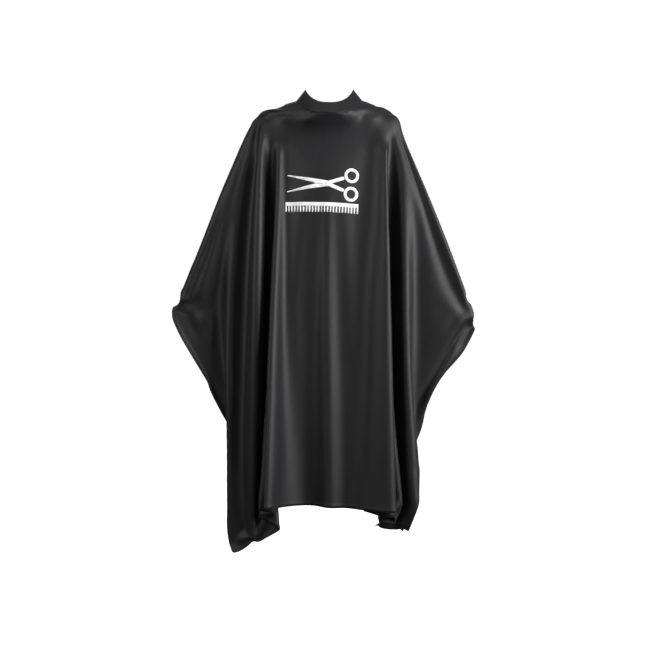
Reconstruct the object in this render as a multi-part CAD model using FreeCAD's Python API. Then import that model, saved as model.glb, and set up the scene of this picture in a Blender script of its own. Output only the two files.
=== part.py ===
import FreeCAD, Part
import math
import os
from FreeCAD import Vector

os.makedirs("parts", exist_ok=True)

# Barber cape, closed and hanging as worn. Millimetres, +Z up, front towards -Y, +X to the
# viewer's right. The origin is the middle of the neck opening, level with the shoulder seams.

# --- neckband: a contoured stand band, worn on a neck and closed at the back ---
neck_radius = 72.0           # front half of the opening, top edge
neck_back = 62.0             # from the origin to the flat back of the band
corner_radius = 35.0         # the turn from each side into the flat back
lap_step = 5.0               # the underlap lies this much further in than the tab
slit_x = 18.0                # the back slit and the root of the closure tab
underlap_gap = 4.0           # the end of the underlap stops short of the tab root
band_height = 42.0           # along the band's surface at the back
band_front_z = -30.0         # top edge at the throat
band_side_z = 25.0           # top edge beside the neck
band_back_z = -4.0           # top edge at the nape
side_crest_y = 13.0          # where the top edge is highest
side_drop = 34.0             # height of the leaning band beside the neck
front_drop = 36.0            # height of the leaning band at the throat
flare_side = 28.0            # how far the foot of the band stands out beside the neck
flare_from_y = 42.0          # the band is upright behind this line
flare_full_y = -10.0
cloth_ply = 0.7              # outer and inner cloth of the band
stiffener_ply = 1.0          # interlining between them
stiffener_inset = 3.0        # interlining stops short of the band's edges
ply_air = 0.06               # a hair of air on each side of the interlining
band_stations = 48           # sections around the band

# --- closure tab ---
tab_length = 58.0
tab_height = 34.0
tab_corner = 9.0             # rounded free end
tab_middle_z = -25.0

# --- press snaps ---
snap_pitch = 20.0            # between snaps, so the neck size steps by this much
first_stud = 6.0             # from the slit to the first stud
stud_count = 5
tab_snaps = (1, 2)           # the studs that the two sockets close on
cap_diameter = 12.0
cap_dome = 1.6
socket_diameter = 10.0
socket_height = 1.9
socket_floor = 0.5
socket_bore = 5.0
ball_diameter = 4.4
ball_height = 1.4
flange_height = 0.5
shank_diameter = 3.0
shank_clearance = 0.1
curved_seat = 0.6            # snaps on the rounded side sit off the cloth by this much
seat_air = 0.02              # a hair of air where a snap bears on cloth

# --- cape panel: one cut of cloth, 1500 mm across, hanging in a tent from the neck ---
panel_wall = 2.6             # the cloth with its hang and hem, as a plain closed wall
panel_start = 1.5            # gap below the band's foot
slit_gap = 3.0
around = 40                  # sections around the panel
hem_depth_z = -1380.0        # the tent is built to here, then cut to the hem
slope_share = 0.8            # on the shoulder slope the inner wall also sinks by this share
shoulder_slope_ends_z = -200.0
# one row for each level: height, reach to the left, to the right, to the front, to the back
tent_levels = (
    (-72.0, 222.0, 214.0, 108.0, 80.0),
    (-130.0, 252.0, 236.0, 124.0, 100.0),
    (-260.0, 308.0, 290.0, 144.0, 120.0),
    (-404.0, 366.0, 348.0, 154.0, 134.0),
    (-567.0, 446.0, 415.0, 160.0, 140.0),
    (-690.0, 481.0, 447.0, 164.0, 140.0),
    (-1000.0, 481.0, 447.0, 166.0, 140.0),
    (hem_depth_z, 481.0, 447.0, 166.0, 140.0),
)
# lower outline of the front, from the left wing tip round the hem to the right wing tip
front_outline = (
    (-481.0, -672.0), (-262.0, -1060.0), (-295.0, -1358.0), (-228.0, -1350.0),
    (-205.0, -1262.0), (-20.0, -1220.0), (80.0, -1266.0), (124.0, -1298.0),
    (222.0, -1316.0), (216.0, -1180.0), (268.0, -1030.0), (305.0, -893.0), (447.0, -708.0),
)
# lower outline of the back, the same way round
back_outline = (
    (-481.0, -690.0), (-350.0, -560.0), (-245.0, -630.0), (-140.0, -345.0),
    (140.0, -345.0), (235.0, -630.0), (330.0, -560.0), (447.0, -715.0),
)
outline_margin = 60.0        # the cutting outlines pass outside the tent by this much

# --- chest print: a comb and an open pair of scissors over a plain bar ---
print_thickness = 0.3
print_air = 0.1
print_middle_x = -6.0
print_middle_z = -285.0

# --- care label, folded tape sewn in under the band beside the slit ---
label_width = 24.0
label_drop = 42.0
label_thickness = 0.6
label_x = 32.0
label_y = 57.4
label_top_z = -46.6


def blend(value):
    """Smooth step from 0 to 1."""
    value = min(1.0, max(0.0, value))
    return value * value * (3 - 2 * value)


# ---------------------------------------------------------------- neck curve
def neck_pieces(back):
    """Lengths of one half of the neck curve: flat back, corner, side, quarter of the front."""
    corner = math.pi / 2 * corner_radius
    side = back - corner_radius
    front = math.pi / 2 * neck_radius
    return corner, side, front


def half_curve(distance, flat, back):
    """Point and outward direction on the right half, measured from the back towards the throat.

    flat is the length of the straight back before the corner starts.
    """
    corner, side, front = neck_pieces(back)
    flat_end = neck_radius - corner_radius
    if distance <= flat:
        return flat_end - flat + distance, back, 0.0, 1.0
    distance -= flat
    if distance <= corner:
        turn = distance / corner_radius
        out_x = math.sin(turn)
        out_y = math.cos(turn)
        x = flat_end + corner_radius * out_x
        y = back - corner_radius + corner_radius * out_y
        return x, y, out_x, out_y
    distance -= corner
    if distance <= side:
        return neck_radius, side - distance, 1.0, 0.0
    turn = min((distance - side) / neck_radius, math.pi / 2)
    out_x = math.cos(turn)
    out_y = -math.sin(turn)
    return neck_radius * out_x, neck_radius * out_y, out_x, out_y


def half_length(flat, back):
    return flat + sum(neck_pieces(back))


flat_end = neck_radius - corner_radius
root_flat = flat_end - slit_x                              # straight back beside the tab root
under_flat = flat_end + slit_x - underlap_gap              # straight underlap
under_back = neck_back - lap_step
right_length = half_length(root_flat, neck_back)
left_length = half_length(under_flat, under_back)


def band_point(fraction):
    """Along the band from the tab root, past the throat, to the end of the underlap."""
    distance = fraction * (right_length + left_length)
    if distance <= right_length:
        return half_curve(distance, root_flat, neck_back)
    back_to_go = right_length + left_length - distance
    x, y, out_x, out_y = half_curve(back_to_go, under_flat, under_back)
    return -x, y, -out_x, out_y


def top_edge_z(y):
    if y < side_crest_y:
        rise = (y + neck_radius) / (side_crest_y + neck_radius)
        return band_front_z + (band_side_z - band_front_z) * math.sin(math.pi / 2 * rise) ** 1.2
    fall = min(1.0, (y - side_crest_y) / (under_back - side_crest_y))
    return band_back_z + (band_side_z - band_back_z) * (1 + math.cos(math.pi * fall)) / 2


def band_section(fraction):
    """Top point, foot point and outward normal of the band's middle layer."""
    x, y, out_x, out_y = band_point(fraction)
    lean = blend((flare_from_y - y) / (flare_from_y - flare_full_y))
    front = blend(-y / neck_radius)
    drop = band_height + lean * (side_drop + (front_drop - side_drop) * front - band_height)
    flare = flare_side * lean
    top = Vector(x, y, top_edge_z(y))
    foot = Vector(x + out_x * flare, y + out_y * flare, top.z - drop)
    slope = math.atan2(flare, drop)
    normal = Vector(out_x * math.cos(slope), out_y * math.cos(slope), math.sin(slope))
    return top, foot, normal


def spline_edge(points):
    """A smooth edge through points that are evenly counted, so that neighbours run in step."""
    last = len(points) - 1
    curve = Part.BSplineCurve()
    curve.interpolate(Points=points, Parameters=[step / last for step in range(last + 1)])
    return curve.toShape()


def wall_between(outer_a, outer_b, inner_a, inner_b):
    """Closed solid between four long edges: outer top, outer foot, inner top, inner foot."""
    faces = [
        Part.makeRuledSurface(outer_a, outer_b),
        Part.makeRuledSurface(inner_a, inner_b),
        Part.makeRuledSurface(outer_a, inner_a),
        Part.makeRuledSurface(outer_b, inner_b),
    ]
    for end in (0, -1):
        corners = [edge.Vertexes[end].Point for edge in (outer_a, outer_b, inner_b, inner_a)]
        faces.append(Part.Face(Part.makePolygon(corners + corners[:1])))
    shell = Part.Shell(faces)
    shell.sewShape()
    solid = Part.Solid(shell)
    if solid.Volume < 0:
        solid.reverse()
    return solid


def band_ply(inside, outside, inset):
    """One layer of the band, between two distances from its middle layer."""
    edges = []
    for offset, at_foot in ((outside, False), (outside, True), (inside, False), (inside, True)):
        points = []
        for step in range(band_stations + 1):
            top, foot, normal = band_section(step / band_stations)
            along = foot - top
            along.normalize()
            base = foot - along * inset if at_foot else top + along * inset
            points.append(base + normal * offset)
        edges.append(spline_edge(points))
    return wall_between(*edges)


# ------------------------------------------------------------- closure tab
def tab_ply(inside, outside, inset):
    """One layer of the tab, standing in the flat of the band's back."""
    free_end = slit_x - tab_length + inset
    low = tab_middle_z - tab_height / 2 + inset
    high = tab_middle_z + tab_height / 2 - inset
    corner = tab_corner - inset
    bend = corner * math.cos(math.pi / 4)
    start_low = Vector(slit_x, 0, low)
    start_high = Vector(slit_x, 0, high)
    low_a = Vector(free_end + corner, 0, low)
    low_b = Vector(free_end, 0, low + corner)
    low_mid = Vector(free_end + corner - bend, 0, low + corner - bend)
    high_a = Vector(free_end + corner, 0, high)
    high_b = Vector(free_end, 0, high - corner)
    high_mid = Vector(free_end + corner - bend, 0, high - corner + bend)
    outline = Part.Wire([
        Part.LineSegment(start_low, low_a).toShape(),
        Part.Arc(low_a, low_mid, low_b).toShape(),
        Part.LineSegment(low_b, high_b).toShape(),
        Part.Arc(high_b, high_mid, high_a).toShape(),
        Part.LineSegment(high_a, start_high).toShape(),
        Part.LineSegment(start_high, start_low).toShape(),
    ])
    ply = Part.Face(outline).extrude(Vector(0, outside - inside, 0))
    ply.translate(Vector(0, neck_back + inside, 0))
    return ply


# ------------------------------------------------------------------- snaps
half_stiff = stiffener_ply / 2
band_half = half_stiff + cloth_ply


def disc(centre, direction, diameter, height):
    return Part.makeCylinder(diameter / 2, height, centre, direction)


def stud_places():
    """Middle-layer point and outward direction of each stud on the underlap."""
    places = []
    for number in range(stud_count):
        distance = first_stud + number * snap_pitch - underlap_gap
        x, y, out_x, out_y = half_curve(distance, under_flat, under_back)
        places.append((Vector(-x, y, tab_middle_z), Vector(-out_x, out_y, 0)))
    return places


def seat(direction):
    """Air under a snap: more where the band is rounded."""
    return seat_air if direction.y > 0.999 else curved_seat


def make_stud(place, direction):
    foot = place + direction * (band_half + seat(direction))
    flange = disc(foot, direction, socket_diameter, flange_height)
    ball = disc(foot + direction * flange_height, direction, ball_diameter, ball_height)
    bore = disc(foot, direction, shank_diameter + 2 * shank_clearance, flange_height + 0.8)
    return flange.fuse(ball).removeSplitter().cut(bore)


def make_post(place, direction):
    back = place - direction * (band_half + seat(direction))
    plate = disc(back, direction * -1, socket_diameter, flange_height)
    shank_length = 2 * (band_half + seat(direction)) + flange_height + 0.6
    shank = disc(back, direction, shank_diameter, shank_length)
    return plate.fuse(shank).removeSplitter()


def tab_snap_places():
    studs = stud_places()
    return [Vector(studs[number][0].x, neck_back, tab_middle_z) for number in tab_snaps]


def make_cap(place):
    out = Vector(0, 1, 0)
    face_y = neck_back + band_half + seat_air
    dome_radius = ((cap_diameter / 2) ** 2 + cap_dome ** 2) / (2 * cap_dome)
    centre = Vector(place.x, face_y + cap_dome - dome_radius, place.z)
    ball = Part.makeSphere(dome_radius, centre)
    keep = disc(Vector(place.x, face_y, place.z), out, cap_diameter, cap_dome + 1)
    shank_length = 2 * (band_half + seat_air) + socket_floor
    shank_from = Vector(place.x, face_y - shank_length, place.z)
    shank = disc(shank_from, out, shank_diameter, shank_length + 0.2)
    return ball.common(keep).fuse(shank).removeSplitter()


def make_socket(place):
    inward = Vector(0, -1, 0)
    face = Vector(place.x, neck_back - band_half - seat_air, place.z)
    body = disc(face, inward, socket_diameter, socket_height)
    cavity = disc(face + inward * socket_floor, inward, socket_bore, socket_height)
    hole = disc(face, inward, shank_diameter + 2 * shank_clearance, socket_floor)
    return body.cut(cavity).cut(hole)


def pierce(ply, places, directions):
    """Cut the shank holes of the snaps through one layer."""
    for place, direction in zip(places, directions):
        start = place - direction * (band_half + 1)
        hole = disc(start, direction, shank_diameter + 2 * shank_clearance, 2 * band_half + 2)
        ply = ply.cut(hole)
    return ply


# -------------------------------------------------------------- cape panel
def tent_row(level, offset):
    """Section points of the tent at one level, from the slit round the front to the slit."""
    z, left, right, front, back = level
    left -= offset
    right -= offset
    start = math.asin((slit_x + slit_gap / 2) / right)
    end = 2 * math.pi + math.asin((slit_x - slit_gap / 2) / right)
    points = []
    for step in range(around + 1):
        turn = start + (end - start) * step / around
        reach_x = right if math.sin(turn) > 0 else left
        reach_y = back - offset if math.cos(turn) > 0 else front - offset
        points.append(Vector(reach_x * math.sin(turn), reach_y * math.cos(turn), z))
    return points


def rim_row(offset):
    """The panel's neck edge: it hangs from the foot of the band."""
    points = []
    for step in range(around + 1):
        top, foot, normal = band_section(step / around)
        along = foot - top
        along.normalize()
        point = foot + along * panel_start - normal * offset
        if step == 0:
            point.x = slit_x + slit_gap / 2
        if step == around:
            point.x = slit_x - slit_gap / 2
        points.append(point)
    return points


def clamped_knots(count, degree):
    """Even knots for a surface direction with so many control points."""
    spans = count - degree
    knots = [step / spans for step in range(spans + 1)]
    mults = [degree + 1] + [1] * (spans - 1) + [degree + 1]
    return knots, mults


def tent_surface(offset):
    """The outer surface moved inwards by offset."""
    rows = [rim_row(offset - panel_wall / 2)]
    for level in tent_levels:
        slope_shift = offset * slope_share if level[0] > shoulder_slope_ends_z else 0.0
        lowered = (level[0] - slope_shift,) + level[1:]
        rows.append(tent_row(lowered, offset))
    along_knots, along_mults = clamped_knots(len(rows), 2)
    around_knots, around_mults = clamped_knots(len(rows[0]), 3)
    surface = Part.BSplineSurface()
    surface.buildFromPolesMultsKnots(rows, along_mults, around_mults, along_knots, around_knots,
                                     False, False, 2, 3)
    return surface


def tent_wall(outer_offset, inner_offset):
    outer = tent_surface(outer_offset)
    inner = tent_surface(inner_offset)
    u_first, u_last, v_first, v_last = outer.bounds()
    faces = [outer.toShape(), inner.toShape()]
    for value in (u_first, u_last):
        faces.append(Part.makeRuledSurface(outer.uIso(value).toShape(), inner.uIso(value).toShape()))
    for value in (v_first, v_last):
        faces.append(Part.makeRuledSurface(outer.vIso(value).toShape(), inner.vIso(value).toShape()))
    shell = Part.Shell(faces)
    shell.sewShape()
    solid = Part.Solid(shell)
    if solid.Volume < 0:
        solid.reverse()
    return solid


def outline_prism(outline, y_from, y_to):
    """Everything inside an outline of the tent seen from the front, over a range of depth."""
    left = outline[0][0] - outline_margin
    right = outline[-1][0] + outline_margin
    top = band_side_z + outline_margin
    points = [Vector(left, y_from, top), Vector(left, y_from, outline[0][1])]
    points += [Vector(x, y_from, z) for x, z in outline]
    points += [Vector(right, y_from, outline[-1][1]), Vector(right, y_from, top)]
    face = Part.Face(Part.makePolygon(points + points[:1]))
    return face.extrude(Vector(0, y_to - y_from, 0))


def make_panel():
    tent = tent_wall(0.0, panel_wall)
    front = tent.common(outline_prism(front_outline, -300.0, 0.0))
    back = tent.common(outline_prism(back_outline, 0.0, 300.0))
    return front.fuse(back)


# ------------------------------------------------------------- chest print
def plate(points):
    """A flat shape of the print as a prism that runs through the chest."""
    corners = [Vector(print_middle_x + x, -260.0, print_middle_z + z) for x, z in points]
    face = Part.Face(Part.makePolygon(corners + corners[:1]))
    return face.extrude(Vector(0, 200.0, 0))


def strip(start, end, start_width, end_width):
    """A straight tapering bar of the print."""
    run = Vector(end[0] - start[0], 0, end[1] - start[1])
    run.normalize()
    side_x = -run.z
    side_z = run.x
    return plate([
        (start[0] + side_x * start_width / 2, start[1] + side_z * start_width / 2),
        (end[0] + side_x * end_width / 2, end[1] + side_z * end_width / 2),
        (end[0] - side_x * end_width / 2, end[1] - side_z * end_width / 2),
        (start[0] - side_x * start_width / 2, start[1] - side_z * start_width / 2),
    ])


def ring(middle, outer_radius, inner_radius):
    centre = Vector(print_middle_x + middle[0], -260.0, print_middle_z + middle[1])
    outer = Part.makeCylinder(outer_radius, 200.0, centre, Vector(0, 1, 0))
    return outer.cut(Part.makeCylinder(inner_radius, 200.0, centre, Vector(0, 1, 0)))


def scissors():
    """Open scissors: two blades that cross at a pivot, two finger rings."""
    pieces = []
    for side in (-1, 1):
        pieces.append(strip((4, 0), (-108, side * 22), 14, 2))
        pieces.append(strip((0, 0), (46, -side * 17), 10, 9))
        pieces.append(ring((66, -side * 25), 20, 12))
    return pieces


def comb():
    """A comb under the scissors: a spine with even teeth."""
    pieces = [plate([(-112, -50), (88, -50), (88, -60), (-112, -60)])]
    tooth_pitch = 8.0
    for number in range(25):
        x = -112 + number * tooth_pitch
        pieces.append(plate([(x, -59), (x + 4, -59), (x + 4, -76), (x, -76)]))
    return pieces


def make_print():
    skin = tent_wall(-print_air - print_thickness, -print_air)
    marks = []
    for shapes in (scissors(), comb()):
        marks += skin.common(shapes[0].fuse(shapes[1:]).removeSplitter()).Solids
    return Part.makeCompound(marks)


# -------------------------------------------------------------- care label
def make_label():
    return Part.makeBox(label_width, label_thickness, label_drop,
                        Vector(label_x - label_width / 2, label_y, label_top_z - label_drop))


def group(shapes):
    return shapes[0] if len(shapes) == 1 else Part.makeCompound(shapes)


studs = stud_places()
stud_points = [place for place, direction in studs]
stud_directions = [direction for place, direction in studs]
tab_points = tab_snap_places()
tab_directions = [Vector(0, 1, 0)] * len(tab_points)

nodes = {
    "cape_panel": make_panel(),
    "chest_print": make_print(),
    "neckband_outer": pierce(band_ply(half_stiff, band_half, 0.0), stud_points, stud_directions),
    "neckband_interlining": pierce(band_ply(ply_air - half_stiff, half_stiff - ply_air, stiffener_inset),
                                   stud_points, stud_directions),
    "neckband_inner": pierce(band_ply(-band_half, -half_stiff, 0.0), stud_points, stud_directions),
    "closure_tab_outer": pierce(tab_ply(half_stiff, band_half, 0.0), tab_points, tab_directions),
    "closure_tab_interlining": pierce(tab_ply(ply_air - half_stiff, half_stiff - ply_air, stiffener_inset),
                                      tab_points, tab_directions),
    "closure_tab_inner": pierce(tab_ply(-band_half, -half_stiff, 0.0), tab_points, tab_directions),
    "snap_caps": group([make_cap(place) for place in tab_points]),
    "snap_sockets": group([make_socket(place) for place in tab_points]),
    "snap_studs": group([make_stud(place, direction) for place, direction in studs]),
    "snap_posts": group([make_post(place, direction) for place, direction in studs]),
    "care_label": make_label(),
}

for name, shape in nodes.items():
    box = shape.BoundBox
    print(name, "valid" if shape.isValid() else "NOT VALID", len(shape.Solids), "solids",
          "volume", round(shape.Volume), "x", round(box.XMin, 1), round(box.XMax, 1),
          "y", round(box.YMin, 1), round(box.YMax, 1), "z", round(box.ZMin, 1), round(box.ZMax, 1))
    shape.exportStep("parts/" + name + ".step")
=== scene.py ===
import math
import bpy
import bmesh
import numpy as np
from mathutils import Matrix, Quaternion, Vector
from mathutils.bvhtree import BVHTree
from mathutils.interpolate import poly_3d_calc


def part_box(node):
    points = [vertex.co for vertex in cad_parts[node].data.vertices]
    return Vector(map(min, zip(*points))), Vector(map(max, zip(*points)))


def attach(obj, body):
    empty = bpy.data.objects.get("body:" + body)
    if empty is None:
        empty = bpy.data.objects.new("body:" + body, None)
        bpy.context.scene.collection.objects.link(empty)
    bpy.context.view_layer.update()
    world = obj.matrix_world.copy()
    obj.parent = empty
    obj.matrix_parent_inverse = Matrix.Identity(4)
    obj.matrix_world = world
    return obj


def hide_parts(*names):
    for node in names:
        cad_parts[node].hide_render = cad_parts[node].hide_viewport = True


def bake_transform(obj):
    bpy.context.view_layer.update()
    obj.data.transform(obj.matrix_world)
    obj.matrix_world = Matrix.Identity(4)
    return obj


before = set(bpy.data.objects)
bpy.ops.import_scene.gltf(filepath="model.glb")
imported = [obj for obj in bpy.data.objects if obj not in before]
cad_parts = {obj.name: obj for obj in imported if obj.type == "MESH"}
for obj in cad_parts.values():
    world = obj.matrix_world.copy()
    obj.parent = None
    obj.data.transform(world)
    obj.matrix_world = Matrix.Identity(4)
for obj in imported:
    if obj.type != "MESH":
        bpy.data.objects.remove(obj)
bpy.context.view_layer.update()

scene = bpy.context.scene


# small workshop helpers
def addObject(name, data):
    thing = bpy.data.objects.new(name, data)
    scene.collection.objects.link(thing)
    return thing


def addMesh(name, bm, smooth=True):
    mesh = bpy.data.meshes.new(name)
    bm.to_mesh(mesh)
    bm.free()
    for face in mesh.polygons:
        face.use_smooth = smooth
    return addObject(name, mesh)


def freshMesh(thing):
    graph = bpy.context.evaluated_depsgraph_get()
    return bpy.data.meshes.new_from_object(thing.evaluated_get(graph))


def applyAll(thing):
    mesh = freshMesh(thing)
    thing.modifiers.clear()
    thing.data = mesh
    return thing


def smoothStep(value):
    value = min(1.0, max(0.0, value))
    return value * value * (3 - 2 * value)


def roundOff(thing, levels=1):
    subsurf = thing.modifiers.new("soften", "SUBSURF")
    subsurf.levels = subsurf.render_levels = levels
    subsurf.uv_smooth = "NONE"
    return thing


def giveWall(thing, thickness, offset=-1.0):
    wall = thing.modifiers.new("wall", "SOLIDIFY")
    wall.thickness = thickness
    wall.offset = offset
    return thing


# camera, floor, lights
stage = {
    "cameraPlace": (-0.0207, -3.2, -0.6855),
    "lens": 58.7,
    "floorZ": -1.50,
    "floorSize": 60.0,
    "roomLight": 0.10,
    "backdropWhite": 1.0,
}


def setStage():
    camera = addObject("camera", bpy.data.cameras.new("camera"))
    camera.location = stage["cameraPlace"]
    camera.rotation_euler = (math.pi / 2, 0.0, 0.0)
    camera.data.lens = stage["lens"]
    camera.data.clip_end = 200.0
    scene.camera = camera
    scene.view_settings.view_transform = "Standard"

    bm = bmesh.new()
    bmesh.ops.create_grid(bm, x_segments=2, y_segments=2, size=stage["floorSize"] / 2,
                          matrix=Matrix.Translation((0, 0, stage["floorZ"])))
    floor = addMesh("floor", bm, smooth=False)
    floor.visible_glossy = False
    floor.visible_diffuse = False
    mat = bpy.data.materials.new("paleFloor")
    mat.use_nodes = True
    shader = mat.node_tree.nodes["Principled BSDF"]
    shader.inputs["Base Color"].default_value = (0.62, 0.62, 0.62, 1)
    shader.inputs["Roughness"].default_value = 0.9
    shader.inputs["Specular IOR Level"].default_value = 0.0
    shader.inputs["Emission Color"].default_value = (1, 1, 1, 1)
    shader.inputs["Emission Strength"].default_value = 0.97
    floor.data.materials.append(mat)

    world = bpy.data.worlds.new("studio")
    scene.world = world
    world.use_nodes = True
    nodes, links = world.node_tree.nodes, world.node_tree.links
    nodes.clear()
    out = nodes.new("ShaderNodeOutputWorld")
    mix = nodes.new("ShaderNodeMixShader")
    path = nodes.new("ShaderNodeLightPath")
    room, white = nodes.new("ShaderNodeBackground"), nodes.new("ShaderNodeBackground")
    room.inputs["Strength"].default_value = stage["roomLight"]
    white.inputs["Color"].default_value = (1, 1, 1, 1)
    white.inputs["Strength"].default_value = stage["backdropWhite"]
    room.inputs["Color"].default_value = (1, 1, 1, 1)
    links.new(path.outputs["Is Camera Ray"], mix.inputs[0])
    links.new(room.outputs[0], mix.inputs[1])
    links.new(white.outputs[0], mix.inputs[2])
    links.new(mix.outputs[0], out.inputs["Surface"])

    lamps = {
        "rightSoftbox": {"place": (2.7, -1.5, 0.1), "aim": (0.3, 0, -0.6), "size": 1.8, "watts": 150},
        "leftSoftbox": {"place": (-2.6, -2.2, 0.6), "aim": (-0.2, 0, -0.6), "size": 1.6, "watts": 55},
        "topSoftbox": {"place": (0.1, -0.9, 2.2), "aim": (0, 0, -0.4), "size": 1.6, "watts": 14},
        "backSoftbox": {"place": (-0.6, 3.0, 0.8), "aim": (0, 0, -0.6), "size": 2.0, "watts": 30},
    }
    for name, lamp in lamps.items():
        light = addObject(name, bpy.data.lights.new(name, "AREA"))
        light.data.energy = lamp["watts"]
        light.data.size = lamp["size"]
        light.location = lamp["place"]
        look = Vector(lamp["aim"]) - Vector(lamp["place"])
        light.rotation_euler = look.to_track_quat("-Z", "Y").to_euler()
    print("stage set")


setStage()


# finishes
class Recipe:
    # one node material being put together

    def __init__(self, name, slot):
        self.mat = bpy.data.materials.new(name)
        self.mat.use_nodes = True
        self.tree = self.mat.node_tree
        self.shader = self.tree.nodes["Principled BSDF"]
        self.slot = slot

    def put(self, kind, **values):
        node = self.tree.nodes.new("ShaderNode" + kind)
        for key, value in values.items():
            setattr(node, key, value)
        return node

    def join(self, source, target):
        self.tree.links.new(source, target)

    def maths(self, operation, *inputs):
        node = self.put("Math", operation=operation)
        for socket, value in zip(node.inputs, inputs):
            if isinstance(value, (int, float)):
                socket.default_value = value
            else:
                self.join(value, socket)
        return node.outputs[0]

    def onCloth(self):
        return self.put("UVMap", uv_map="flat").outputs[0]

    def onObject(self):
        return self.put("TexCoord").outputs["Object"]

    def scaled(self, coords, scale):
        node = self.put("Mapping")
        self.join(coords, node.inputs["Vector"])
        node.inputs["Scale"].default_value = scale
        return node.outputs[0]

    def noise(self, coords, scale, detail=3.0, rough=0.5):
        node = self.put("TexNoise")
        self.join(coords, node.inputs["Vector"])
        node.inputs["Scale"].default_value = scale
        node.inputs["Detail"].default_value = detail
        node.inputs["Roughness"].default_value = rough
        return node.outputs["Fac"]

    def ramp(self, source, low, high, dark, light):
        node = self.put("ValToRGB")
        node.color_ramp.elements[0].position = low
        node.color_ramp.elements[1].position = high
        node.color_ramp.elements[0].color = (*dark, 1)
        node.color_ramp.elements[1].color = (*light, 1)
        self.join(source, node.inputs[0])
        return node.outputs[0]

    def spread(self, source, low, high):
        node = self.put("MapRange")
        self.join(source, node.inputs["Value"])
        node.inputs["To Min"].default_value = low
        node.inputs["To Max"].default_value = high
        return node.outputs[0]

    def relief(self, heights):
        # heights is a list of (height socket, distance in metres), stacked one on another
        normal = None
        for height, distance in heights:
            node = self.put("Bump")
            node.inputs["Distance"].default_value = distance
            self.join(height, node.inputs["Height"])
            if normal is not None:
                self.join(normal, node.inputs["Normal"])
            normal = node.outputs[0]
        self.join(normal, self.shader.inputs["Normal"])

    def uniform(self, **values):
        for key, value in values.items():
            self.shader.inputs[key.replace("_", " ")].default_value = value
        return self


def weaveHeight(recipe, coords, pitch, slant):
    # warp and weft threads with the slanted floats of a satin weave
    parts = recipe.put("SeparateXYZ")
    recipe.join(coords, parts.inputs[0])
    turn = 2 * math.pi / pitch
    warp = recipe.maths("SINE", recipe.maths("MULTIPLY", parts.outputs["X"], turn))
    weft = recipe.maths("SINE", recipe.maths("MULTIPLY", parts.outputs["Y"], turn))
    across = recipe.maths("MULTIPLY_ADD", parts.outputs["Y"], slant, parts.outputs["X"])
    floats = recipe.maths("SINE", recipe.maths("MULTIPLY", across, turn / 3))
    both = recipe.maths("MAXIMUM", warp, weft)
    return recipe.maths("MULTIPLY_ADD", floats, 0.6, both)


satinLook = {
    "dark": (0.0060, 0.0055, 0.0064),
    "light": (0.0115, 0.0110, 0.0130),
    "threadPitch": 0.00030,
    "roughness": (0.50, 0.60),
    "sheen": 0.13,
}


def blackSatin(name, slot, hemmed=False):
    r = Recipe(name, slot)
    coords = r.onCloth()
    tone = r.noise(r.scaled(coords, (5, 1.2, 1)), 2.4, 5.0, 0.6)
    r.join(r.ramp(tone, 0.3, 0.72, satinLook["dark"], satinLook["light"]), r.shader.inputs["Base Color"])
    slub = r.noise(r.scaled(coords, (260, 14, 1)), 1.0, 3.0)
    r.join(r.spread(slub, *satinLook["roughness"]), r.shader.inputs["Roughness"])
    creases = r.noise(r.scaled(coords, (9, 3.2, 1)), 1.0, 4.0, 0.45)
    streaks = r.noise(r.scaled(coords, (34, 2.2, 1)), 1.0, 3.0, 0.5)
    weave = weaveHeight(r, coords, satinLook["threadPitch"], 0.5)
    heights = [(creases, 0.0016), (streaks, 0.0007), (slub, 0.00006), (weave, 0.000015)]
    if hemmed:
        heights.append((hemGroove(r, coords), 0.0005))
    r.relief(heights)
    r.uniform(Sheen_Weight=satinLook["sheen"], Sheen_Roughness=0.38,
              Sheen_Tint=(0.62, 0.66, 0.80, 1), Specular_IOR_Level=0.36)
    return r


def hemGroove(r, coords):
    # the stitched line of the hem is pulled in a little
    parts = r.put("SeparateXYZ")
    r.join(coords, parts.inputs[0])
    half = capeSizes["width"] / 2
    sideways = r.maths("SUBTRACT", half, r.maths("ABSOLUTE", parts.outputs["X"]))
    down = r.maths("ADD", parts.outputs["Y"], capeSizes["front"])
    up = r.maths("SUBTRACT", capeSizes["back"], parts.outputs["Y"])
    edge = r.maths("MINIMUM", sideways, r.maths("MINIMUM", down, up))
    off = r.maths("ABSOLUTE", r.maths("SUBTRACT", edge, capeSizes["hem"] - capeSizes["seamIn"]))
    return r.maths("MINIMUM", 1.0, r.maths("MULTIPLY", off, 900.0))


def knitLining(name, slot):
    r = Recipe(name, slot)
    coords = r.onCloth()
    loops = weaveHeight(r, coords, 0.0011, 1.0)
    tone = r.noise(coords, 160.0, 4.0, 0.6)
    r.join(r.ramp(tone, 0.3, 0.7, (0.007, 0.007, 0.008), (0.016, 0.016, 0.018)),
           r.shader.inputs["Base Color"])
    r.join(r.spread(tone, 0.72, 0.9), r.shader.inputs["Roughness"])
    r.relief([(tone, 0.0003), (loops, 0.00012)])
    r.uniform(Sheen_Weight=0.15, Sheen_Roughness=0.5, Specular_IOR_Level=0.3)
    return r


def whiteInk(name, slot):
    r = Recipe(name, slot)
    coords = r.onCloth()
    weave = weaveHeight(r, coords, satinLook["threadPitch"] * 1.5, 0.5)
    patchy = r.noise(coords, 90.0, 5.0, 0.65)
    r.join(r.ramp(patchy, 0.25, 0.6, (0.90, 0.90, 0.90), (0.97, 0.97, 0.97)), r.shader.inputs["Base Color"])
    r.join(r.spread(patchy, 0.62, 0.45), r.shader.inputs["Roughness"])
    r.relief([(patchy, 0.0002), (weave, 0.00004)])
    r.uniform(Specular_IOR_Level=0.4)
    return r


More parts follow.
